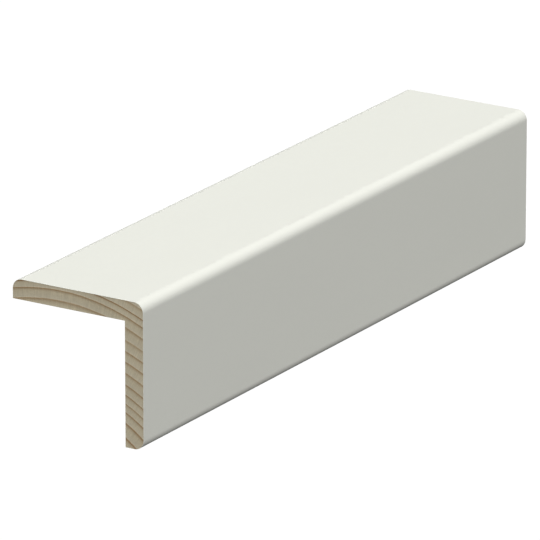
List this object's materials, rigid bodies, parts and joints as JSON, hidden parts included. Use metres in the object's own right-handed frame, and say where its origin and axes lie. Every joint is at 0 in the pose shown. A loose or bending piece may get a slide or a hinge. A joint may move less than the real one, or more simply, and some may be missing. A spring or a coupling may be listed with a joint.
{
  "type": "outside corner moulding",
  "caption": "Straight L-section pine moulding with rounded arrises, painted on its outer faces and bare at its cut ends, to cover and protect the outside corner of a wall.",
  "frame": {"origin": "middle of the inner corner line, where the two back faces meet, which sits on the corner of the wall", "axes": "+Y along the moulding's length, +Z out of the top leg's painted face, +X out of the side leg's painted face"},
  "size_m": [0.043, 0.21, 0.043],
  "materials": {
    "painted_pine": "satin off-white paint on the outer faces, bare pine on the cut ends and the back"
  },
  "bodies": {
    "root": {"corner_moulding": "painted_pine"}
  },
  "joints": []
}
